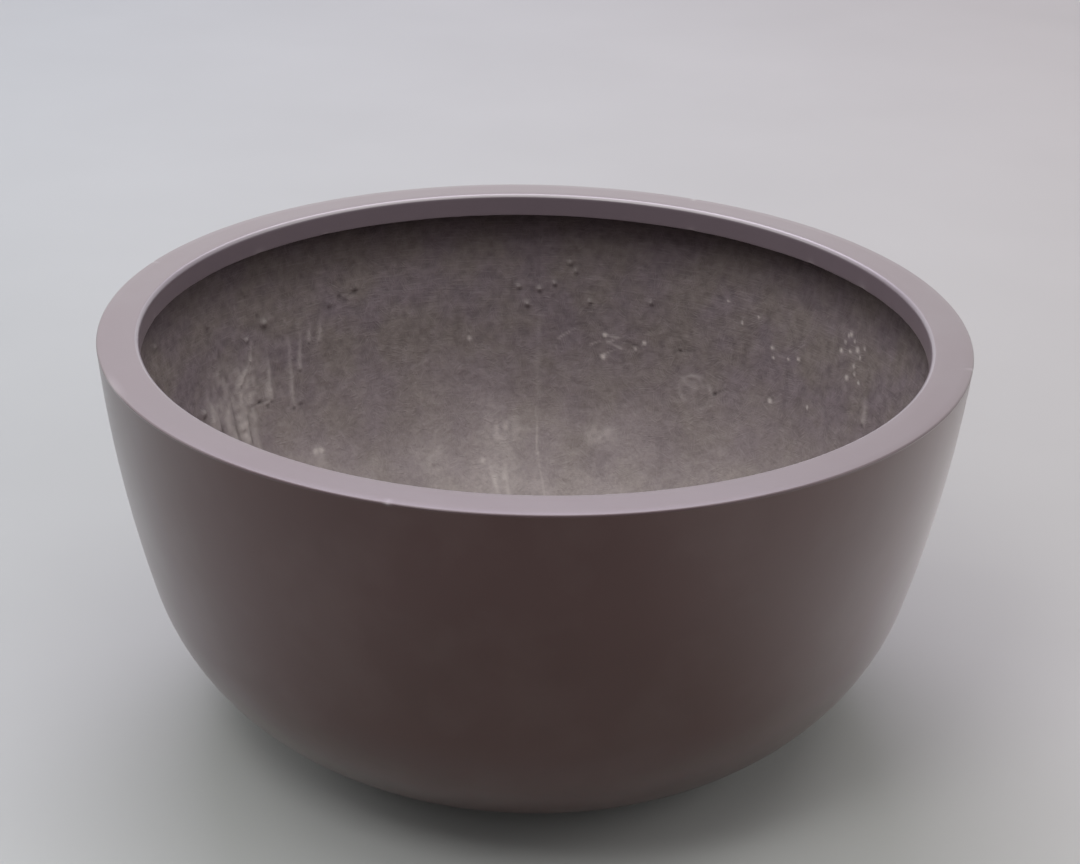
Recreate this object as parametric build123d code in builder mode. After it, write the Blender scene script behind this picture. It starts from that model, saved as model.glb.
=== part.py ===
from build123d import *
import os
from math import asin, cos, degrees, radians, sin

# Fibreglass bowl planter: a deep bowl with a flat rim, a drop lip and a drain plug.
# All sizes are in millimetres and degrees. +Z is up, and the origin is the middle of
# the flat base, on its underside. Every ring is turned about Z.

# Bowl outside
rim_diameter = 914.0  # over the outer corner of the rim, 36 inches
bowl_height = 457.0  # floor to the top of the rim, 18 inches
base_diameter = 328.0  # the flat that the bowl stands on
wall_draft = 4.0  # wall from upright, at the rim
belly_slope = 14.4  # wall from upright, where the wall arc meets the belly arc

# Rim
rim_width = 43.5  # flat top, from the outer corner to the face of the lip
rim_thickness = 5.0
lip_height = 27.0  # top of the rim to the lower edge of the lip
lip_thickness = 4.5
rim_outer_round = 2.0
rim_inner_round = 5.5
lip_edge_round = 1.0

# Skins
shell_thickness = 3.5  # moulded outer skin
laminate_thickness = 2.5  # mat laid by hand inside it

# Bond under the rim
bead_leg = 12.0  # paste cove in the corner of wall and rim
tape_thickness = 1.5  # glass tape laid over the cove
tape_wall_lap = 20.0
tape_rim_lap = 12.0

# Base patch
patch_diameter = 290.0
patch_thickness = 3.0
patch_feather = 6.0  # width of its tapered edge

# Drain hole and plug
drain_diameter = 25.0
plug_clearance = 0.3  # between the stem and the hole, all round
plug_head_diameter = 38.0
plug_head_thickness = 3.0
plug_stem_taper = 0.8  # the tip is this much smaller in radius
plug_tip_height = 1.0  # tip of the stem above the underside of the base
plug_tab_width = 18.0
plug_tab_thickness = 5.0
plug_tab_height = 13.0  # above the head
plug_tab_round = 1.2

# Worked out from the sizes above
rim_radius = rim_diameter / 2
base_radius = base_diameter / 2
drain_radius = drain_diameter / 2
draft = radians(wall_draft)
belly = radians(belly_slope)
lip_radius = rim_radius - rim_width
rim_seat = bowl_height - rim_thickness
bead_foot = rim_seat - bead_leg
floor_inset = shell_thickness + laminate_thickness
plug_seat = floor_inset + patch_thickness

# The outside is two arcs. The wall arc leaves the rim at the draft, and the belly arc
# takes over at the belly slope and lands level on the base. Two sums, one across and
# one down, give the two radii.
wall_across = cos(draft) - cos(belly)
wall_down = sin(belly) - sin(draft)
belly_across = cos(belly)
belly_down = 1 - sin(belly)
width_to_cover = rim_radius - base_radius
determinant = wall_across * belly_down - belly_across * wall_down
wall_radius = (width_to_cover * belly_down - belly_across * bowl_height) / determinant
belly_radius = (wall_across * bowl_height - wall_down * width_to_cover) / determinant
belly_centre = Vector(base_radius, belly_radius)
wall_centre = belly_centre + Vector(cos(belly), -sin(belly)) * (belly_radius - wall_radius)


def wall_slope(inset, height):
    """Slope from upright, in degrees, of the wall at a height and an inset."""
    return degrees(asin((wall_centre.Y - height) / (wall_radius - inset)))


def wall_point(inset, height):
    """Point of the wall, as radius and height, at a height and an inset."""
    slope = radians(wall_slope(inset, height))
    return wall_centre + Vector(cos(slope), -sin(slope)) * (wall_radius - inset)


def wall_arc(inset, low, high):
    """Stretch of the wall arc between two heights."""
    low_slope = wall_slope(inset, low)
    return CenterArc(wall_centre, wall_radius - inset, -low_slope, low_slope - wall_slope(inset, high))


def bowl_arcs(inset, high):
    """Wall and belly arcs at an inset, from the floor's edge up to a height."""
    CenterArc(belly_centre, belly_radius - inset, -90, 90 - belly_slope)
    CenterArc(wall_centre, wall_radius - inset, -belly_slope, belly_slope - wall_slope(inset, high))


def skin_outline(outer, inner, high):
    """Closed section of a skin between two insets, from the drain hole to its top edge."""
    bowl_arcs(outer, high)
    bowl_arcs(inner, high)
    Line(wall_point(outer, high), wall_point(inner, high))
    Line((base_radius, outer), (drain_radius, outer))
    Line((drain_radius, outer), (drain_radius, inner))
    Line((drain_radius, inner), (base_radius, inner))


# Bowl shell: the moulded outer skin, up to the underside of the rim
with BuildPart() as bowl_shell:
    with BuildSketch(Plane.XZ):
        with BuildLine():
            skin_outline(0, shell_thickness, rim_seat)
        make_face()
    revolve(axis=Axis.Z)
bowl_shell.part.label = "bowl_shell"

# Rim ring: a flat flange on the shell's top edge, with a lip that drops from its inner side
with BuildPart() as rim_ring:
    with BuildSketch(Plane.XZ) as rim_section:
        with BuildLine():
            Polyline(
                wall_point(0, rim_seat),
                (rim_radius, bowl_height),
                (lip_radius, bowl_height),
                (lip_radius, bowl_height - lip_height),
                (lip_radius + lip_thickness, bowl_height - lip_height),
                (lip_radius + lip_thickness, rim_seat),
                close=True,
            )
        make_face()
        lip_corners = rim_section.vertices().group_by(Axis.Y)[0]
        top_corners = rim_section.vertices().group_by(Axis.Y)[-1].sort_by(Axis.X)
        fillet(lip_corners, lip_edge_round)
        fillet(top_corners[0], rim_inner_round)
        fillet(top_corners[-1], rim_outer_round)
    revolve(axis=Axis.Z)
rim_ring.part.label = "rim_ring"

# Inner laminate: mat in two halves that meet in a seam at the front and the back
laminate_halves = {}
for side, kept in (("left", Keep.BOTTOM), ("right", Keep.TOP)):
    with BuildPart() as laminate_half:
        with BuildSketch(Plane.XZ):
            with BuildLine():
                skin_outline(shell_thickness, floor_inset, bead_foot)
            make_face()
        revolve(axis=Axis.Z)
        split(bisect_by=Plane.YZ, keep=kept)
    laminate_half.part.label = "inner_laminate_" + side
    laminate_halves[side] = laminate_half

# Cove shared by the paste bead and the tape: a quarter circle under the rim
cove_start = wall_point(floor_inset, bead_foot)
cove_centre = cove_start - Vector(bead_leg, 0)

# Rim bond bead: paste in the corner between the shell and the rim, on the laminate's top edge
with BuildPart() as rim_bond_bead:
    with BuildSketch(Plane.XZ):
        with BuildLine():
            wall_arc(shell_thickness, bead_foot, rim_seat)
            CenterArc(cove_centre, bead_leg, 0, 90)
            Line(wall_point(shell_thickness, bead_foot), cove_start)
            Line((cove_centre.X, rim_seat), wall_point(shell_thickness, rim_seat))
        make_face()
    revolve(axis=Axis.Z)
rim_bond_bead.part.label = "rim_bond_bead"

# Rim bond tape: lies on the laminate, goes over the bead and laps the rim's underside
tape_foot = bead_foot - tape_wall_lap
tape_tip = cove_centre.X - tape_rim_lap
with BuildPart() as rim_bond_tape:
    with BuildSketch(Plane.XZ):
        with BuildLine():
            wall_arc(floor_inset, tape_foot, bead_foot)
            CenterArc(cove_centre, bead_leg, 0, 90)
            CenterArc(cove_centre, bead_leg - tape_thickness, 0, 90)
            Polyline(
                (cove_centre.X, rim_seat),
                (tape_tip, rim_seat),
                (tape_tip, rim_seat - tape_thickness),
                (cove_centre.X, rim_seat - tape_thickness),
            )
            Polyline(
                cove_start - Vector(tape_thickness, 0),
                wall_point(floor_inset + tape_thickness, tape_foot),
                wall_point(floor_inset, tape_foot),
            )
        make_face()
    revolve(axis=Axis.Z)
rim_bond_tape.part.label = "rim_bond_tape"

# Base patch: extra plies over the seam on the floor, with a tapered edge
patch_radius = patch_diameter / 2
with BuildPart() as base_patch:
    with BuildSketch(Plane.XZ):
        with BuildLine():
            Polyline(
                (drain_radius, floor_inset),
                (patch_radius, floor_inset),
                (patch_radius - patch_feather, plug_seat),
                (drain_radius, plug_seat),
                close=True,
            )
        make_face()
    revolve(axis=Axis.Z)
base_patch.part.label = "base_patch"

# Drain plug: a tapered rubber stem, a head that seats on the patch, and a tab to pull it by
stem_radius = drain_radius - plug_clearance
head_top = plug_seat + plug_head_thickness
tab_root = plug_seat + plug_head_thickness / 2
tab_centre = head_top + plug_tab_height - plug_tab_width / 2
with BuildPart() as drain_plug:
    with BuildSketch(Plane.XZ):
        with BuildLine():
            Polyline(
                (0, plug_tip_height),
                (stem_radius - plug_stem_taper, plug_tip_height),
                (stem_radius, plug_seat),
                (plug_head_diameter / 2, plug_seat),
                (plug_head_diameter / 2, head_top),
                (0, head_top),
                close=True,
            )
        make_face()
    revolve(axis=Axis.Z)
    head_rim = drain_plug.edges().filter_by(GeomType.CIRCLE).group_by(Axis.Z)[-1]
    fillet(head_rim, plug_head_thickness / 3)
    with BuildSketch(Plane.XZ.offset(-plug_tab_thickness / 2)):
        with Locations((0, tab_root)):
            Rectangle(plug_tab_width, tab_centre - tab_root, align=(Align.CENTER, Align.MIN))
        with Locations((0, tab_centre)):
            Circle(plug_tab_width / 2)
    extrude(amount=plug_tab_thickness)
    tab_faces = drain_plug.faces().filter_by(Axis.Y).filter_by(GeomType.PLANE)
    tab_edges = tab_faces.edges().filter_by(lambda edge: edge.center().Z > head_top)
    fillet(tab_edges, plug_tab_round)
drain_plug.part.label = "drain_plug"

os.makedirs("parts", exist_ok=True)
pieces = [bowl_shell, rim_ring, rim_bond_bead, rim_bond_tape, base_patch, drain_plug]
pieces += laminate_halves.values()
for piece in pieces:
    export_step(piece.part, f"parts/{piece.part.label}.step")

print(f"wall arc radius {wall_radius:.1f}, belly arc radius {belly_radius:.1f}")
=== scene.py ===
from math import asin, cos, pi, radians, sin

import bpy
import numpy as np
from mathutils import Matrix, Vector


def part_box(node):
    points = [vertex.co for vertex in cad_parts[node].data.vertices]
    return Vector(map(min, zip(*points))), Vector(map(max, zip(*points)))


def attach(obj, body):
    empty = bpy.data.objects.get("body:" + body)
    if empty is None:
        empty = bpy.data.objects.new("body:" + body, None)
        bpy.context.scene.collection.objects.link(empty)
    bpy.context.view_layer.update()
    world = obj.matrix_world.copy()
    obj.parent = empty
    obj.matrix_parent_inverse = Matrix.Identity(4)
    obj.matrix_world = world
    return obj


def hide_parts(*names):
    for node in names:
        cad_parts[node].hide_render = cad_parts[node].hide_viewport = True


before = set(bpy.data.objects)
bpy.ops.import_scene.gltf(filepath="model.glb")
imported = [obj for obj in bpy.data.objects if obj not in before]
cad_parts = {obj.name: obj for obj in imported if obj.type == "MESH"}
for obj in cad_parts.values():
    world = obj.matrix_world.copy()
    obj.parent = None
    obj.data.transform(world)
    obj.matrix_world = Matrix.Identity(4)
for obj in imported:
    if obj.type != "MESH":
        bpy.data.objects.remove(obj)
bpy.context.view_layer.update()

# Fibreglass bowl planter: a painted bowl with a flat rim and a drop lip, laid up by hand
# inside. Lengths are in metres and angles in radians. Azimuths run round the bowl
# from the back, +Y, towards +X. The painted skins and the laid mat are turned
# meshes with their own unevenness, each in the place of the solid it stands for.

mm = 0.001

# Sizes read from the frame
rim_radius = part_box("rim_ring")[1].x
bowl_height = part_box("rim_ring")[1].z
lip_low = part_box("rim_ring")[0].z
rim_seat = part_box("bowl_shell")[1].z
mat_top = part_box("inner_laminate_left")[1].z
patch_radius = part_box("base_patch")[1].x
patch_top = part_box("base_patch")[1].z
tape_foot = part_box("rim_bond_tape")[0].z

# Sizes that the frame's boxes don't give
base_radius = 164 * mm
wall_draft = radians(4.0)
belly_slope = radians(14.4)
shell_thickness = 3.5 * mm
laminate_thickness = 2.5 * mm
floor_inset = shell_thickness + laminate_thickness
rim_width = 43.5 * mm
lip_thickness = 4.5 * mm
rim_outer_round = 2.0 * mm
rim_inner_round = 5.5 * mm
lip_edge_round = 1.0 * mm
patch_feather = 6 * mm
drain_radius = 12.5 * mm
plug_head_radius = 19 * mm
lip_radius = rim_radius - rim_width
lip_outer = lip_radius + lip_thickness

# The two arcs of the outside, found as in the solid model
wall_across = cos(wall_draft) - cos(belly_slope)
wall_down = sin(belly_slope) - sin(wall_draft)
belly_across = cos(belly_slope)
belly_down = 1 - sin(belly_slope)
width_to_cover = rim_radius - base_radius
determinant = wall_across * belly_down - belly_across * wall_down
wall_arc_radius = (width_to_cover * belly_down - belly_across * bowl_height) / determinant
belly_arc_radius = (wall_across * bowl_height - wall_down * width_to_cover) / determinant
belly_centre = np.array([base_radius, belly_arc_radius])
arcs_meet = np.array([belly_across, -sin(belly_slope)])
wall_centre = belly_centre + arcs_meet * (belly_arc_radius - wall_arc_radius)


# Outlines, as rows of radius and height

def arc(centre, radius, first, last, step):
    """Points on an arc, between two slopes measured down from level, ends included."""
    count = max(2, round(abs(last - first) * radius / step) + 1)
    slopes = np.linspace(first, last, count)
    return centre + radius * np.stack([np.cos(slopes), -np.sin(slopes)], axis=1)


def line(first, last, step):
    """Points on a straight line, ends included."""
    first, last = np.array(first), np.array(last)
    count = max(2, round(np.linalg.norm(last - first) / step) + 1)
    return first + np.linspace(0, 1, count)[:, None] * (last - first)


def corner(centre, radius, first, last, count=7):
    """A rounded corner, between two angles measured up from outwards."""
    turns = np.linspace(first, last, count)
    return np.array(centre) + radius * np.stack([np.cos(turns), np.sin(turns)], axis=1)


def joined(*stretches):
    """One outline from stretches that may share end points."""
    points = np.concatenate(stretches)
    gap = np.linalg.norm(points - np.roll(points, 1, axis=0), axis=1)
    return points[gap > 1e-6]


def wall_slope(inset, height):
    return asin((wall_centre[1] - height) / (wall_arc_radius - inset))


def wall_arc(inset, low, high, step):
    """The wall arc at an inset, between two heights."""
    return arc(wall_centre, wall_arc_radius - inset, wall_slope(inset, low), wall_slope(inset, high), step)


def bowl_side(inset, high, step):
    """The bowl's side at an inset, from the edge of the floor up to a height."""
    belly = arc(belly_centre, belly_arc_radius - inset, pi / 2, belly_slope, step)
    wall = arc(wall_centre, wall_arc_radius - inset, belly_slope, wall_slope(inset, high), step)
    return np.concatenate([belly, wall[1:]])


# Turned meshes

def grid_points(outline, azimuths):
    """Points of an outline turned to each azimuth, one row for each azimuth."""
    turn = azimuths[:, None]
    radius, height = outline[:, 0], outline[:, 1]
    return np.stack([radius * np.sin(turn), radius * np.cos(turn), height + 0 * turn], axis=-1)


def soft_noise(points, size, seed):
    """Smooth random values from -1 to 1 at points, in blobs about size across."""
    table = np.random.default_rng(seed).uniform(-1, 1, 4096)
    cell = np.floor(points / size).astype(np.int64)
    share = points / size - cell
    share = share * share * (3 - 2 * share)
    total = np.zeros(points.shape[:-1])
    for step in np.ndindex(2, 2, 2):
        place = cell + np.array(step)
        key = (place * (73856093, 19349663, 83492791)).sum(axis=-1)
        weight = np.where(step, share, 1 - share).prod(axis=-1)
        total += table[(key ^ (key >> 7)) % 4096] * weight
    return total


def turned(name, outline, azimuths, bulge=0.0, lift=0.0, whole=True):
    """Closed mesh turned from one outline, or from one for each azimuth.

    Bulge moves each point off the surface, and lift moves it up."""
    across = np.roll(outline, -1, axis=-2) - np.roll(outline, 1, axis=-2)
    across /= np.linalg.norm(across, axis=-1)[..., None]
    turn = azimuths[:, None]
    radius = outline[..., 0] + bulge * across[..., 1] + 0 * turn
    height = outline[..., 1] - bulge * across[..., 0] + lift + 0 * turn
    points = np.stack([radius * np.sin(turn), radius * np.cos(turn), height], axis=-1)
    number = np.arange(radius.size).reshape(radius.shape)
    beside, above = np.roll(number, -1, axis=0), np.roll(number, -1, axis=1)
    quads = np.stack([number, above, np.roll(beside, -1, axis=1), beside], axis=-1)
    if whole:
        faces = quads.reshape(-1, 4).tolist()
    else:
        faces = quads[:-1].reshape(-1, 4).tolist() + [number[0, ::-1].tolist(), number[-1].tolist()]
    mesh = bpy.data.meshes.new(name)
    mesh.from_pydata(points.reshape(-1, 3).tolist(), [], faces)
    mesh.shade_smooth()
    mesh.set_sharp_from_angle(angle=radians(35))
    piece = bpy.data.objects.new(name, mesh)
    bpy.context.scene.collection.objects.link(piece)
    return piece


def mark(piece, name, values):
    """Stores a number from 0 to 1 at each point, for the finish to read."""
    attribute = piece.data.attributes.new(name, "FLOAT", "POINT")
    attribute.data.foreach_set("value", np.clip(values, 0, 1).ravel())


def unroll(piece, run, azimuths):
    """Stores where each point would lie on flat mat, from its run out from the drain hole."""
    turn = azimuths[:, None]
    lay = np.stack([run * np.sin(turn), run * np.cos(turn), 0 * (run + turn)], axis=-1)
    piece.data.attributes.new("lay", "FLOAT_VECTOR", "POINT").data.foreach_set("vector", lay.ravel())


def stands_for(piece, node, finish):
    piece.data.materials.append(finish)
    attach(piece, "planter")
    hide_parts(node)


# Finishes

class Nodes:
    """Builds one node tree."""

    def __init__(self, tree):
        self.tree = tree

    def feed(self, node, socket, value):
        """Sets a socket, or links it where the value comes from another node."""
        target = node.inputs[socket.replace("_", " ") if isinstance(socket, str) else socket]
        if isinstance(value, bpy.types.NodeSocket):
            self.tree.links.new(value, target)
        else:
            target.default_value = value

    def add(self, kind, settings=(), **sockets):
        node = self.tree.nodes.new("ShaderNode" + kind)
        for key, value in dict(settings).items():
            setattr(node, key, value)
        for socket, value in sockets.items():
            self.feed(node, socket, value)
        return node

    def math(self, operation, first, second=0.0):
        node = self.add("Math", {"operation": operation})
        self.feed(node, 0, first)
        self.feed(node, 1, second)
        return node.outputs[0]

    def ramp(self, value, low, high, to_low=0.0, to_high=1.0):
        node = self.add("MapRange", Value=value, From_Min=low, From_Max=high, To_Min=to_low, To_Max=to_high)
        return node.outputs[0]

    def mix(self, share, first, second):
        return self.add("MixRGB", Fac=share, Color1=first, Color2=second).outputs[0]


class Finish(Nodes):
    """A procedural material around one shader; object coordinates are the frame's, in metres."""

    def __init__(self, name, **sockets):
        self.material = bpy.data.materials.new(name)
        self.material.use_nodes = True
        super().__init__(self.material.node_tree)
        self.shader = self.tree.nodes["Principled BSDF"]
        self.place = self.add("TexCoord").outputs["Object"]
        for socket, value in sockets.items():
            self.feed(self.shader, socket, value)

    def noise(self, size, detail=2.0, place=None, stretch=1.0, turn=0.0, shift=0.0):
        """Noise about size across, from 0 to 1, lengthened by stretch along a turned X."""
        scale = (size * stretch, size, size)
        fitted = self.add("Mapping", {"vector_type": "TEXTURE"}, Vector=place or self.place,
                          Location=(shift, shift, 0), Rotation=(0, 0, turn), Scale=scale)
        cloud = self.add("TexNoise", Vector=fitted.outputs[0], Scale=1.0, Detail=detail).outputs[0]
        return self.ramp(cloud, 0.3, 0.7)

    def point_value(self, name):
        """A number that the mesh carries at each point."""
        return self.add("Attribute", {"attribute_name": name}).outputs["Fac"]

    def bump(self, height, depth, under=None):
        """Bump from a height of 0 to 1 that stands for a depth in metres."""
        node = self.add("Bump", Strength=1.0, Distance=depth, Height=height)
        if under is not None:
            self.feed(node, "Normal", under)
        return node.outputs[0]


def satin_paint():
    """Dark brown satin paint with a faint orange peel, pale where it has chips or scuffs, with a painted
    paler tone on the lip and rim and a painted highlight along the inner round.
    """
    paint = Finish("satin_paint", Coat_Weight=1.0, Coat_Roughness=0.3, Coat_IOR=1.39, IOR=1.36)
    cloud = paint.noise(110 * mm, 3)
    colour = paint.mix(cloud, (0.044, 0.007, 0.004, 1), (0.052, 0.012, 0.009, 1))
    haze = paint.math("MULTIPLY", paint.ramp(paint.noise(70 * mm, 6, shift=0.4), 0.45, 1), 0.03)
    hazy = paint.mix(haze, colour, (0.35, 0.31, 0.29, 1))
    # Painted light: where the mesh marks it, the lip, the inner round and a share of the flat top turn a
    # paler lilac grey
    painted_light_and_shade = paint.mix(paint.point_value("painted_light_mask"), hazy, (0.19, 0.155, 0.18, 1))
    # Pale chips, and the painted highlight along the inner round
    chips_and_highlight = paint.mix(paint.point_value("pale"), painted_light_and_shade, (0.44, 0.40, 0.415, 1))
    height = paint.add("SeparateXYZ", Vector=paint.place).outputs[2]
    foot = paint.math("MULTIPLY", paint.ramp(height, 1.2 * mm, 0.2 * mm), paint.noise(7 * mm, 5))
    scuffed = paint.mix(paint.math("MULTIPLY", foot, 0.6), chips_and_highlight, (0.2, 0.18, 0.17, 1))
    paint.feed(paint.shader, "Base Color", scuffed)
    paint.feed(paint.shader, "Roughness", paint.ramp(cloud, 0, 1, 0.38, 0.46))
    peel = paint.bump(paint.noise(4 * mm, 1), 0.012 * mm)
    paint.feed(paint.shader, "Normal", paint.bump(paint.noise(1.2 * mm, 1), 0.006 * mm, peel))
    return paint.material


def laid_mat(name, unrolled=True):
    """Matt hand-laid glass mat under thin paint, paler towards the floor, with painted shade under the lip
    and in its marks.
    """
    mat = Finish(name, IOR=1.35)
    lay = mat.add("Attribute", {"attribute_name": "lay"}).outputs["Vector"] if unrolled else mat.place
    strand_directions = 6
    strand_turn = 0.55
    strands = 0.0
    for index in range(strand_directions):
        shift = 0.37 * index
        streak = mat.noise(1.7 * mm, 1, lay, 11, turn=index * strand_turn + 0.2, shift=shift)
        patch = mat.noise(34 * mm, 2, lay, shift=shift)
        laid = mat.math("MULTIPLY", mat.ramp(streak, 0.62, 0.95), mat.ramp(patch, 0.5, 0.85))
        strands = mat.math("MAXIMUM", strands, laid)
    grain = mat.noise(2.5 * mm, 1)
    mottle = mat.noise(12 * mm, 5)
    place = mat.add("SeparateXYZ", Vector=mat.place).outputs
    around = mat.math("MULTIPLY", mat.math("ARCTAN2", place[0], place[1]), lip_radius)
    upright = mat.add("CombineXYZ", X=around, Y=place[2]).outputs[0]
    brushed = mat.math("MULTIPLY", mat.noise(2.0 * mm, 2, upright, 14), mat.ramp(place[2], 0.12, 0.33))
    drift = mat.noise(60 * mm, 3)
    cool = mat.mix(mottle, (0.178, 0.146, 0.159, 1), (0.272, 0.227, 0.243, 1))
    warm = mat.mix(mottle, (0.19, 0.159, 0.151, 1), (0.285, 0.246, 0.231, 1))
    colour = mat.mix(mat.ramp(drift, 0.2, 0.8), cool, warm)
    streaks = mat.math("MULTIPLY", mat.math("MAXIMUM", strands, mat.ramp(brushed, 0.6, 1)), 0.27)
    lit = mat.mix(streaks, colour, (0.46, 0.405, 0.405, 1))
    drifts = mat.ramp(mat.noise(75 * mm, 4), 0, 1, 0.55, 1.25)
    # Paler towards the floor, in drifts
    towards_floor = mat.math("MULTIPLY", mat.ramp(place[2], 0.27, 0.04), drifts)
    pale_cloud = mat.math("MULTIPLY", towards_floor, mat.ramp(mat.noise(4 * mm, 3), 0, 1, 0.55, 0.85))
    paler_low = mat.mix(pale_cloud, lit, (0.63, 0.56, 0.54, 1))
    # Painted shade: the mat turns dark brown towards the top, under the lip
    painted_light_and_shade = mat.math("MULTIPLY", mat.ramp(place[2], 0.35, 0.425), 0.85)
    painted = mat.mix(painted_light_and_shade, paler_low, (0.026, 0.014, 0.015, 1))
    # Pale marks: runs, flecks, scratches and patches, with the painted highlights on the tops of beads
    pale = mat.mix(mat.point_value("pale"), painted, (0.66, 0.6, 0.575, 1))
    # Painted shade: pits, creases, the hollows under beads and the feet of runs turn near black
    mat.feed(mat.shader, "Base Color", mat.mix(mat.point_value("painted_shade"), pale, (0.03, 0.02, 0.022, 1)))
    mat.feed(mat.shader, "Roughness", mat.ramp(mottle, 0, 1, 0.85, 0.66))
    rough = mat.bump(grain, 0.12 * mm, mat.bump(mottle, 1.1 * mm, mat.bump(brushed, 0.3 * mm)))
    mat.feed(mat.shader, "Normal", mat.bump(strands, 0.35 * mm, rough))
    return mat.material


def bond_paste():
    """Pale filled paste, smeared along the corner."""
    paste = Finish("bond_paste", Roughness=0.7)
    smear = paste.noise(6 * mm, 4)
    paste.feed(paste.shader, "Base Color", paste.mix(smear, (0.12, 0.1, 0.1, 1), (0.2, 0.18, 0.17, 1)))
    paste.feed(paste.shader, "Normal", paste.bump(smear, 0.6 * mm))
    return paste.material


def black_rubber():
    """Moulded rubber with a fine matt bloom."""
    rubber = Finish("black_rubber", IOR=1.45)
    bloom = rubber.noise(4 * mm, 4)
    colour = rubber.mix(bloom, (0.014, 0.014, 0.014, 1), (0.034, 0.034, 0.035, 1))
    rubber.feed(rubber.shader, "Base Color", colour)
    rubber.feed(rubber.shader, "Roughness", rubber.ramp(bloom, 0, 1, 0.5, 0.68))
    rubber.feed(rubber.shader, "Normal", rubber.bump(rubber.noise(0.8 * mm, 2), 0.05 * mm))
    return rubber.material


paint_finish = satin_paint()
mat_finish = laid_mat("laid_mat")
tape_finish = laid_mat("laid_tape", unrolled=False)
paste_finish = bond_paste()
rubber_finish = black_rubber()

# Painted shell: its unevenness only ever goes inwards, so that it stays in its solid's box
full_turn = np.linspace(0, 2 * pi, 480, endpoint=False)


def outside_waves(points):
    """Slow waves of a moulded and sanded outside, inwards from the true surface."""
    waves = soft_noise(points, 170 * mm, 21) + 0.4 * soft_noise(points, 60 * mm, 22)
    return 0.13 * mm * (waves - 2.6)


shell_outline = joined(
    bowl_side(0, rim_seat, 7 * mm),
    bowl_side(shell_thickness, rim_seat, 30 * mm)[::-1],
    line((base_radius, shell_thickness), (drain_radius, shell_thickness), 40 * mm),
    line((drain_radius, 0), (base_radius, 0), 12 * mm),
)
shell_points = grid_points(shell_outline, full_turn)
just_inside = bowl_side(1 * mm, rim_seat, 7 * mm)
shell_outside = shell_outline[:, 0] > np.interp(shell_outline[:, 1], just_inside[:, 1], just_inside[:, 0])
shell_section = shell_outline + 0 * full_turn[:, None, None]
shell_section[..., 0] += outside_waves(shell_points) * shell_outside
shell = turned("painted_shell", shell_section, full_turn)
stands_for(shell, "bowl_shell", paint_finish)

# Painted rim: a flat top, and a lip that was trimmed by hand and took a few chips
rim_turn = np.linspace(0, 2 * pi, 1080, endpoint=False)
rim_outline = joined(
    wall_arc(0, rim_seat, bowl_height - rim_outer_round, 1.5 * mm),
    corner((rim_radius - rim_outer_round, bowl_height - rim_outer_round), rim_outer_round, 0.1, pi / 2, 6),
    line((rim_radius - rim_outer_round, bowl_height), (lip_radius + rim_inner_round, bowl_height), 9 * mm),
    corner((lip_radius + rim_inner_round, bowl_height - rim_inner_round), rim_inner_round, pi / 2, pi, 10),
    line((lip_radius, bowl_height - rim_inner_round), (lip_radius, lip_low + lip_edge_round), 3.5 * mm),
    corner((lip_radius + lip_edge_round, lip_low + lip_edge_round), lip_edge_round, pi, 1.5 * pi, 4),
    corner((lip_outer - lip_edge_round, lip_low + lip_edge_round), lip_edge_round, 1.5 * pi, 2 * pi, 4),
    np.array([[lip_outer, rim_seat]]),
)
rim_points = grid_points(rim_outline, rim_turn)
on_lip = (rim_outline[:, 0] < lip_outer + 0.1 * mm) & (rim_outline[:, 1] < bowl_height - 3 * mm)
lip_drop = (bowl_height - rim_inner_round - rim_outline[:, 1]) / (bowl_height - lip_low)
down_lip = np.clip(lip_drop, 0, 1) * on_lip
lip_waves = 0.45 * soft_noise(rim_points, 55 * mm, 31) + 0.2 * soft_noise(rim_points, 14 * mm, 32) - 0.3
rim_bulge = down_lip * mm * lip_waves
trimmed = 0.5 * soft_noise(rim_points, 40 * mm, 33) + 0.3 * soft_noise(rim_points, 9 * mm, 34) + 0.45
rim_lift = np.clip(trimmed, 0, 1.2) * 0.8 * mm * down_lip ** 4
rim_waves = outside_waves(rim_points)
rim_section = rim_outline + 0 * rim_turn[:, None, None]
rim_section[..., 0] += rim_waves * (rim_outline[:, 0] > rim_radius - 3 * mm)
rim_section[..., 1] += rim_waves * np.clip((rim_outline[:, 1] - rim_seat) / (bowl_height - rim_seat), 0, 1)

# Chips on the lower edge of the lip, by azimuth in degrees and width and height in millimetres,
# and on the outer corner, by azimuth, width and depth
lip_chips = [(27, 5, 2.5), (51, 6, 3), (64, 7, 4), (-38, 5, 2), (-52, 8, 3), (-84, 6, 3),
             (118, 6, 3), (-150, 7, 2)]
corner_chips = [(25, 2.5, 1.2), (-71, 2, 1), (104, 3, 0.8), (-116, 26, 0.5), (-164, 2.5, 1)]
rim_pale = np.zeros(rim_bulge.shape)


def near(azimuth, width, radius):
    """Weight of a spot along the rim, from its azimuth in degrees and its width in millimetres."""
    turn = (rim_turn - radians(azimuth) + pi) % (2 * pi) - pi
    return np.exp(-(turn * radius / (width * mm)) ** 2)[:, None]


for azimuth, width, height in lip_chips:
    chip = near(azimuth, width, lip_radius) * np.exp(-(rim_outline[:, 1] - lip_low) / (height * mm)) * on_lip
    rim_bulge -= 0.5 * mm * chip
    rim_pale += 0.5 * chip
for azimuth, width, depth in corner_chips:
    gap = np.hypot(rim_outline[:, 0] - rim_radius, rim_outline[:, 1] - bowl_height)
    chip = near(azimuth, width, rim_radius) * np.exp(-(gap / (2 * mm)) ** 2)
    rim_bulge -= 0.5 * depth * mm * chip
    rim_pale += 0.6 * chip
rim = turned("painted_rim", rim_section, rim_turn, rim_bulge, rim_lift)
on_top = rim_outline[:, 1] > bowl_height - rim_outer_round
round_reach = lip_radius + 0.8 * rim_inner_round
on_round = (rim_outline[:, 0] < round_reach) & (rim_outline[:, 1] > bowl_height - rim_inner_round)
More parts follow.
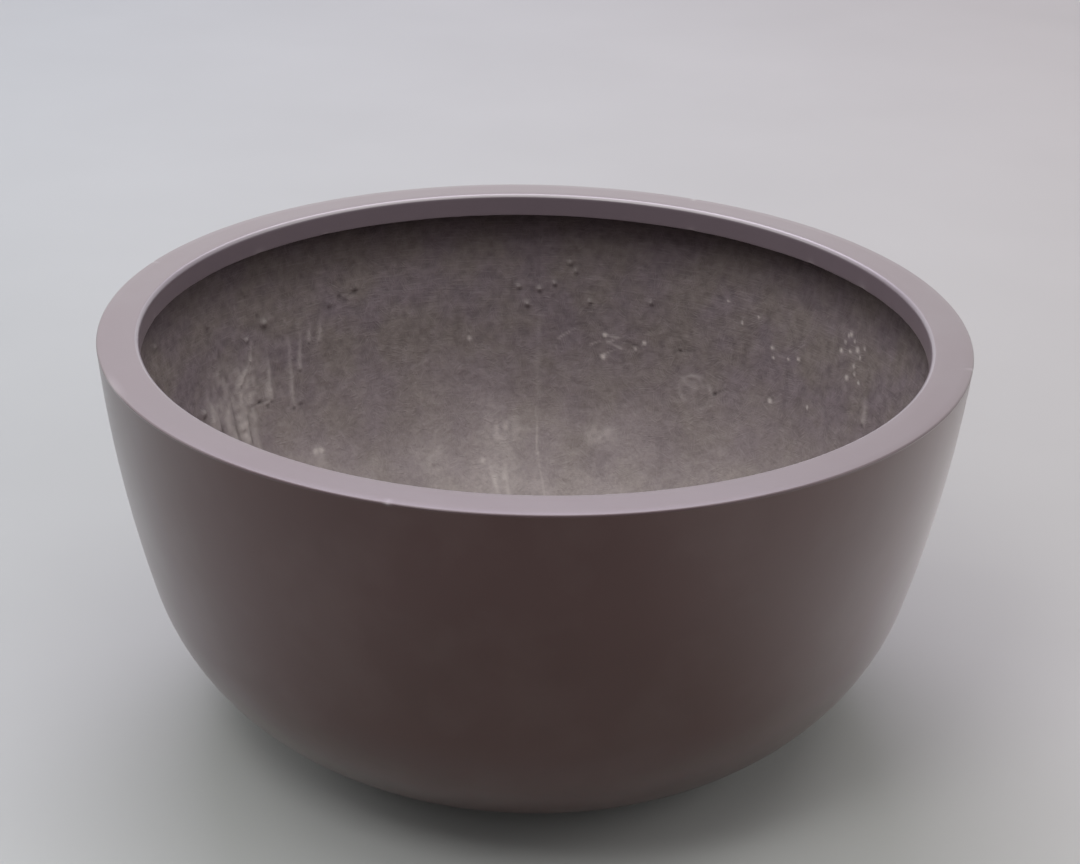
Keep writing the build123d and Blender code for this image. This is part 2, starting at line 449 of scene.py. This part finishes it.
# Painted light: the lip and the inner round take most of the paler tone, and the flat top a weaker share
rim_painted_light_mask = np.where(on_lip | on_round, 0.85, 0.3 * on_top)
mark(rim, "painted_light_mask", rim_painted_light_mask + 0 * rim_pale)
# Painted highlight: a pale line on the lower part of the inner round, only round the back
painted_highlight_line = on_round & (rim_outline[:, 1] > bowl_height - 0.6 * rim_inner_round)
highlight_at_back = np.clip(1.8 * np.cos(rim_turn) - 0.5, 0, 1)[:, None]
mark(rim, "pale", rim_pale + 0.9 * painted_highlight_line * highlight_at_back)
stands_for(rim, "rim_ring", paint_finish)

# Laid mat, in two halves that meet in a seam at the back and the front
mat_outer = np.concatenate([
    line((drain_radius, shell_thickness), (base_radius, shell_thickness), 40 * mm)[:-1],
    bowl_side(shell_thickness, mat_top, 30 * mm),
])
mat_inner = np.concatenate([
    bowl_side(floor_inset, mat_top, 2.3 * mm)[::-1],
    line((base_radius, floor_inset), (drain_radius, floor_inset), 5 * mm)[1:],
])
mat_outline = np.concatenate([mat_outer, mat_inner])
mat_run = np.concatenate([[0], np.cumsum(np.linalg.norm(np.diff(mat_inner, axis=0), axis=1))])
mat_run = mat_run[-1] - mat_run


class MatFace:
    """The visible face of one half of the mat: its relief, its pale marks with some painted highlights, and
    its painted shade.
    """

    def __init__(self, azimuths):
        self.azimuths = azimuths
        self.points = grid_points(mat_inner, azimuths)
        self.rise = np.zeros(self.points.shape[:2])
        self.pale = np.zeros(self.points.shape[:2])
        self.painted_shade = np.zeros(self.points.shape[:2])

    def offset(self, azimuth, height):
        """Distances round and up the face from a place in degrees and millimetres."""
        row = np.interp(-height * mm, -mat_inner[:, 1], np.arange(len(mat_inner)))
        radius = np.interp(row, np.arange(len(mat_inner)), mat_inner[:, 0])
        along = np.interp(row, np.arange(len(mat_inner)), mat_run)
        turn = (self.azimuths - radians(azimuth) + pi) % (2 * pi) - pi
        return turn[:, None] * radius, (mat_run - along)[None, :]

    def spot(self, azimuth, height, size):
        """Weight of a round spot."""
        across, along = self.offset(azimuth, height)
        return np.exp(-(across ** 2 + along ** 2) / (size * mm) ** 2)

    def stroke(self, azimuth, height, last_azimuth, last_height, width):
        """Weight of a stroke that starts thin and ends full."""
        across, along = self.offset(azimuth, height)
        far_along = self.offset(last_azimuth, last_height)[1]
        middle_radius = np.interp(-0.5 * (height + last_height) * mm, -mat_inner[:, 1], mat_inner[:, 0])
        side, length = radians(last_azimuth - azimuth) * middle_radius, (along - far_along).mean()
        across = across + 0.5 * width * mm * soft_noise(self.points, 16 * mm, 17)
        share = np.clip((across * side + along * length) / (side ** 2 + length ** 2), 0, 1)
        gap = np.hypot(across - share * side, along - share * length)
        full = width * mm * (0.55 + 0.45 * share)
        return np.exp(-(gap / full) ** 2) * np.clip(0.25 + 1.2 * share, 0, 1)

    def bead(self, azimuth, height, size):
        """A bead of resin, with a painted highlight on its top and painted shade in the hollow below it."""
        bead = self.spot(azimuth, height, 1.2 * size)
        lit = self.spot(azimuth - 0.1, height + 0.4 * size, 0.9 * size)
        hollow = self.spot(azimuth + 0.1, height - 1.3 * size, size)
        self.rise += 1.1 * size * mm * bead - 0.3 * size * mm * hollow
        self.pale += 0.45 * lit
        self.painted_shade += 0.6 * hollow

    def pit(self, azimuth, height, size):
        pit = self.spot(azimuth, height, size)
        self.rise += 0.6 * size * mm * self.spot(azimuth, height + 1.4 * size, size) - 0.5 * size * mm * pit
        # Painted shade darkens the pit
        self.painted_shade += 0.5 * pit

    def run(self, azimuth, height, last_azimuth, last_height, width):
        """A dried run of resin that ends in a dip with painted shade at its foot."""
        weight = self.stroke(azimuth, height, last_azimuth, last_height, 1.5 * width)
        weight = weight * (0.75 + 0.25 * soft_noise(self.points, 7 * mm, 15))
        foot = self.spot(last_azimuth, last_height - 1.5 * width, 0.8 * width)
        self.rise += 0.6 * width * mm * weight - 0.3 * width * mm * foot
        self.pale += 0.5 * weight
        self.painted_shade += 0.6 * foot

    def swirl(self, azimuth, height, size):
        """A ring left where the roller turned."""
        gap = np.hypot(*self.offset(azimuth, height)) - size * mm
        weight = np.exp(-(gap / (2.4 * mm)) ** 2) * (0.6 + 0.4 * soft_noise(self.points, 12 * mm, 16))
        self.rise += 0.8 * mm * weight
        self.pale += 0.24 * weight

    def crease(self, *places):
        weight = self.stroke(*places)
        self.rise -= 0.9 * mm * weight
        # Painted shade darkens the crease
        self.painted_shade += 0.42 * weight

    def scratch(self, *places):
        self.pale += 0.5 * self.stroke(*places)

    def seam(self, *places):
        """The faint overlap of the two widths of mat."""
        weight = self.stroke(*places) * (0.6 + 0.4 * soft_noise(self.points, 9 * mm, 18))
        self.rise += 0.4 * mm * weight
        self.pale += 0.2 * weight

    def fleck(self, azimuth, height, size):
        weight = self.spot(azimuth, height, size)
        self.rise += 0.6 * mm * weight
        self.pale += 1.6 * weight

    def pale_cloud(self, azimuth, height, size):
        cloud = 0.5 + 0.5 * soft_noise(self.points, 6 * mm, 14)
        self.pale += 0.55 * cloud * self.spot(azimuth, height, size)

    def lobes(self):
        """The slow and quick unevenness of mat laid by hand."""
        self.rise += 0.55 * mm * soft_noise(self.points, 70 * mm, 11)
        self.rise += 0.4 * mm * soft_noise(self.points, 24 * mm, 12)
        self.rise += 0.35 * mm * np.abs(soft_noise(self.points, 10 * mm, 13))

    def quiet(self):
        """Levels the face under the tape, under the base patch and at the drain hole."""
        under_tape = np.clip((tape_foot - 2 * mm - mat_inner[:, 1]) / (10 * mm), 0, 1)
        off_patch = np.clip((mat_inner[:, 0] - patch_radius) / (12 * mm), 0, 1)
        self.rise *= under_tape * off_patch


# Marks that the photograph shows, at azimuths in degrees and heights in millimetres
beads = [(-49, 330, 4.5), (-53, 317, 3.0), (-66, 260, 4.0), (-3, 328, 3.0), (0.5, 325, 3.0),
         (3, 333, 2.8), (-1.5, 306, 3.2), (6.5, 350, 2.6), (5.5, 360, 2.8), (9, 312, 2.4),
         (19.5, 319, 2.6)]
pits = [(-40.5, 372, 2.6), (-31, 339, 3.2), (-34, 337, 2.8), (-33, 330, 2.6), (-36, 325, 3.0),
        (-52, 369, 2.6), (-50, 341, 2.6), (-61, 349, 2.8), (-44, 218, 2.8), (-52.5, 239, 2.8),
        (25.5, 265, 2.4), (33, 222, 2.4)]
runs = [(-38, 313, -38.5, 289, 2.2), (-40, 309, -40.5, 291, 2.0), (-42, 303, -43, 262, 2.4),
        (-44.5, 303, -45.5, 221, 3.0), (-49, 298, -50, 238, 2.4), (-52, 315, -53, 292, 2.0),
        (-53, 292, -56, 270, 2.4), (-56, 285, -57.5, 190, 8.0), (-54.5, 240, -55, 184, 4.5),
        (-60, 262, -60.5, 205, 6.0), (-64, 280, -64.5, 236, 6.0), (-50, 262, -51, 236, 3.5),
        (64.5, 292, 65.5, 266, 3.2)]
swirls = [(29.5, 218, 21), (31, 214, 14), (28.5, 221, 17)]
creases = [(-58.6, 268, -59, 196, 2.2), (-62, 255, -62.3, 214, 1.8),
           (-55.8, 232, -56.2, 196, 1.8), (24, 262, 28, 269, 1.8), (32, 216, 35, 232, 1.6),
           (-30, 341, -32, 337, 1.6), (14, 268, 18, 262, 1.6), (-59, 326, -59.5, 312, 2.2),
           (-55, 238, -51, 239, 1.8)]
scratches = [(7.5, 280, 4, 263, 1.1), (11.5, 272, 14.5, 269, 1.8), (14.5, 269, 12.5, 262, 1.5),
             (12.5, 262, 15, 256, 1.7), (14, 255, 11.5, 244, 1.5), (11.5, 264, 9.5, 257, 1.2),
             (0.3, 175, 0.9, 120, 1.6), (0.9, 120, 3.2, 70, 1.9), (-9, 116, -7, 78, 3.4),
             (-5.5, 104, -5, 76, 2.6)]
seams = [(0.6, 320, 0.6, 190, 4.0), (0.6, 200, 0.8, 60, 6.0)]
flecks = [(19, 267, 2.2), (17.5, 258, 1.6), (-11.5, 263, 2.2), (58, 353, 2.4), (60, 339, 2.6),
          (56.5, 329, 2.2), (59, 347, 1.6), (60, 319, 2.0), (59, 302, 2.6), (62, 304, 1.6),
          (44, 235, 2.6), (48, 297, 1.8), (42.5, 299, 1.8), (12, 271, 2.4), (12, 243, 2.4),
          (-10, 114, 3.0), (-43, 158, 3.2), (-41.8, 157, 2.4), (57.5, 350, 1.5), (61, 332, 1.5),
          (58.5, 333, 1.6), (57, 341, 1.5), (61.5, 345, 1.4), (60.5, 311, 1.5), (46, 292, 1.5),
          (43, 288, 1.4), (36, 318, 1.4), (39, 330, 1.4), (52, 246, 1.6), (33, 340, 1.3)]
dusty_patches = [(-5, 150, 26), (-6, 138, 20), (-6, 98, 24), (-42.5, 157, 9), (-42, 156, 5),
                 (-54, 264, 30), (-57, 238, 30), (-58, 203, 22), (-63, 252, 20), (-60, 285, 16),
                 (14, 147, 15), (14, 146, 8), (11, 148, 10), (-42.5, 143, 8), (-6.5, 94, 16),
                 (-20, 120, 22), (28, 226, 9)]
seen_reach = 70  # degrees each way from the back that the photograph shows


def scatter_marks(face, seed):
    """Marks of the same kinds round the front, where the photograph doesn't reach."""
    random = np.random.default_rng(seed)
    first, last = seen_reach, 360 - seen_reach
    kinds = ((face.bead, 16, 3, 4.5), (face.pit, 14, 3, 4.5), (face.fleck, 14, 2.5, 4))
    for kind, count, small, large in kinds:
        for azimuth, height, size in random.uniform((first, 90, small), (last, 390, large), (count, 3)):
            kind(azimuth, height, size)
    runs_drawn = random.uniform((first, 240, 25, 3.5), (last, 350, 90, 5), (18, 4))
    for azimuth, height, length, width in runs_drawn:
        face.run(azimuth, height, azimuth + random.uniform(-1, 1), height - length, width)


def mat_half(side):
    """One half of the laid mat, with finer columns round the back than round the front."""
    reach = radians(seen_reach + 5)
    back_columns, front_columns = 236, 176
    back, front = np.linspace(0, reach, back_columns), np.linspace(reach, pi, front_columns)
    azimuths = np.concatenate([back, front[1:]])
    if side == "left":
        azimuths = (2 * pi - azimuths)[::-1]
    face = MatFace(azimuths)
    face.lobes()
    marks = ((face.bead, beads), (face.pit, pits), (face.run, runs), (face.crease, creases),
             (face.swirl, swirls), (face.seam, seams), (face.scratch, scratches),
             (face.fleck, flecks), (face.pale_cloud, dusty_patches))
    for kind, places in marks:
        for place in places:
            kind(*place)
    scatter_marks(face, 41)
    face.quiet()
    hidden = np.zeros((len(azimuths), len(mat_outer)))
    bulge = np.concatenate([hidden, face.rise], axis=1)
    half = turned("laid_mat_" + side, mat_outline, azimuths, bulge, whole=False)
    mark(half, "pale", np.concatenate([hidden, face.pale], axis=1))
    mark(half, "painted_shade", np.concatenate([hidden, face.painted_shade], axis=1))
    unroll(half, np.concatenate([np.zeros(len(mat_outer)), mat_run]), azimuths)
    stands_for(half, "inner_laminate_" + side, mat_finish)


mat_half("right")
mat_half("left")

# Base patch, with a ragged edge
patch_turn = np.linspace(0, 2 * pi, 360, endpoint=False)
patch_outline = joined(
    line((drain_radius, floor_inset), (patch_radius, floor_inset), 40 * mm),
    line((patch_radius, floor_inset), (patch_radius - patch_feather, patch_top), 3 * mm),
    line((patch_radius - patch_feather, patch_top), (drain_radius, patch_top), 3 * mm),
)
patch_points = grid_points(patch_outline, patch_turn)
fray = 3 + 2 * soft_noise(patch_points, 45 * mm, 51) + soft_noise(patch_points, 12 * mm, 52)
fray += 0.8 * soft_noise(patch_points, 4 * mm, 53)
patch_section = patch_outline + 0 * patch_turn[:, None, None]
patch_edge = np.clip((patch_outline[:, 0] - 0.6 * patch_radius) / (0.4 * patch_radius), 0, 1)
patch_section[..., 0] -= mm * fray * patch_edge
on_top = patch_outline[:, 1] > patch_top - 1e-6
patch_relief = soft_noise(patch_points, 25 * mm, 54)
patch_relief += 0.5 * np.abs(soft_noise(patch_points, 7 * mm, 55))
patch_relief = (patch_relief - 1.5) * on_top
off_seat = np.clip((patch_outline[:, 0] - 1.2 * plug_head_radius) / (20 * mm), 0, 1)
patch = turned("ragged_patch", patch_section, patch_turn, 0.3 * mm * patch_relief * off_seat)
unroll(patch, patch_outline[:, 0] + 0.3, patch_turn)
stands_for(patch, "base_patch", mat_finish)

# Nodes that keep their solids
own_finishes = {"rim_bond_tape": tape_finish, "rim_bond_bead": paste_finish, "drain_plug": rubber_finish}
for node, finish in own_finishes.items():
    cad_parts[node].data.materials.clear()
    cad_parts[node].data.materials.append(finish)


# Stage

def floor_finish():
    """Pale floor, cooler on the left, and brighter before the bowl and far away.

    Gloss alone sees it brighter beside the bowl, as from a white card laid there."""
    pale = Finish("pale_floor", Roughness=0.9, IOR=1.3)
    place = pale.add("SeparateXYZ", Vector=pale.place).outputs
    across, along = place[0], place[1]
    distance = pale.add("VectorMath", {"operation": "LENGTH"}, Vector=pale.place).outputs["Value"]
    near = pale.ramp(along, 0.5, -0.4, 0.88, 1.04)
    far = pale.math("ADD", pale.ramp(along, 0.7, 3.4, 0, 0.12), pale.ramp(distance, 3.6, 9, 0, 0.6))
    right, left = pale.ramp(across, 0.3, 0.6, 0, 0.53), pale.ramp(across, -0.35, -0.7, 0, 0.12)
    beside = pale.math("MULTIPLY", pale.math("ADD", right, left), pale.ramp(along, 0.9, 0.4))
    card = pale.math("MULTIPLY", beside, pale.add("LightPath").outputs["Is Glossy Ray"])
    level = pale.math("ADD", pale.math("ADD", near, card), far)
    cloud = pale.math("MULTIPLY", level, pale.ramp(pale.noise(0.5, 3), 0, 1, 0.98, 1.02))
    side = pale.ramp(across, -1.2, 1.2)
    colour = pale.mix(side, (0.54, 0.572, 0.565, 1), (0.55, 0.54, 0.52, 1))
    scaled = pale.add("VectorMath", {"operation": "SCALE"}, Vector=colour, Scale=cloud)
    pale.feed(pale.shader, "Base Color", scaled.outputs[0])
    return pale.material


floor_reach = 14.0
floor_mesh = bpy.data.meshes.new("floor")
corners = [(x * floor_reach, y * floor_reach, 0) for x, y in ((-1, -1), (1, -1), (1, 1), (-1, 1))]
floor_mesh.from_pydata(corners, [], [(0, 1, 2, 3)])
floor = bpy.data.objects.new("floor", floor_mesh)
bpy.context.scene.collection.objects.link(floor)
floor.data.materials.append(floor_finish())


def lamp(name, place, aim, width, depth, radiance, colour):
    """A soft rectangular lamp; its power follows from the radiance of its face."""
    light = bpy.data.lights.new(name, "AREA")
    light.shape = "RECTANGLE"
    light.size, light.size_y = width, depth
    light.energy = radiance * width * depth * pi
    light.color = colour
    fixture = bpy.data.objects.new(name, light)
    fixture.location = place
    fixture.rotation_euler = (Vector(aim) - Vector(place)).to_track_quat("-Z", "Y").to_euler()
    fixture.visible_camera = False
    bpy.context.scene.collection.objects.link(fixture)


lamp("overhead", (0, -0.2, 5), (0, 0, 0.4), 6.4, 2.6, 2.1, (1, 0.995, 0.985))
lamp("behind", (-0.5, 3.5, 4.7), (0, 0, 0.45), 3.8, 3.0, 3.75, (0.99, 0.89, 1.09))
lamp("beside", (-4.5, 0.6, 2.8), (0, 0, 0.4), 2.4, 2.4, 2.2, (1, 1, 1))
lamp("opposite", (4.5, -0.4, 2.6), (0, 0, 0.4), 2.4, 2.4, 1.7, (1, 0.985, 0.97))
lamp("front", (-1.4, -2.4, 4.3), (0, 0, 0.4), 1.4, 1.4, 6.0, (1, 1, 1))

# World: plain for the light it gives, and darker towards the front where gloss reflects it
world = bpy.data.worlds.new("studio")
bpy.context.scene.world = world
world.use_nodes = True
sky = Nodes(world.node_tree)
rays = sky.add("LightPath")
axes = sky.add("SeparateXYZ", Vector=sky.add("TexCoord").outputs["Generated"])
room = sky.mix(sky.ramp(axes.outputs[1], -0.7, 0.35), (0.2, 0.18, 0.18, 1), (1.3, 1.3, 1.32, 1))
gloss = sky.mix(sky.ramp(axes.outputs[0], -0.2, 0.8, 0, 0.2), room, (0.6, 0.57, 0.57, 1))
seen = sky.mix(rays.outputs["Is Camera Ray"], (0.28, 0.28, 0.283, 1), (0.62, 0.62, 0.61, 1))
sky.feed(sky.tree.nodes["Background"], "Color", sky.mix(rays.outputs["Is Glossy Ray"], seen, gloss))

# Camera
image_width = 1080
focal_length_pixels = 2100
camera_place = Vector((0, -2.0673, 1.2800))
pitch, yaw, roll = 0.4327, 0.0034, 0.0231
forward = Vector((sin(yaw) * cos(pitch), cos(yaw) * cos(pitch), -sin(pitch)))
level_right = Vector((cos(yaw), -sin(yaw), 0))
level_up = level_right.cross(forward)
right = cos(roll) * level_right + sin(roll) * level_up
up = cos(roll) * level_up - sin(roll) * level_right
camera_data = bpy.data.cameras.new("camera")
camera_data.sensor_width = 36.0
camera_data.lens = camera_data.sensor_width * focal_length_pixels / image_width
camera = bpy.data.objects.new("camera", camera_data)
camera.matrix_world = Matrix.Translation(camera_place) @ Matrix((right, up, -forward)).transposed().to_4x4()
bpy.context.scene.collection.objects.link(camera)
bpy.context.scene.camera = camera
bpy.context.scene.view_settings.view_transform = "Standard"
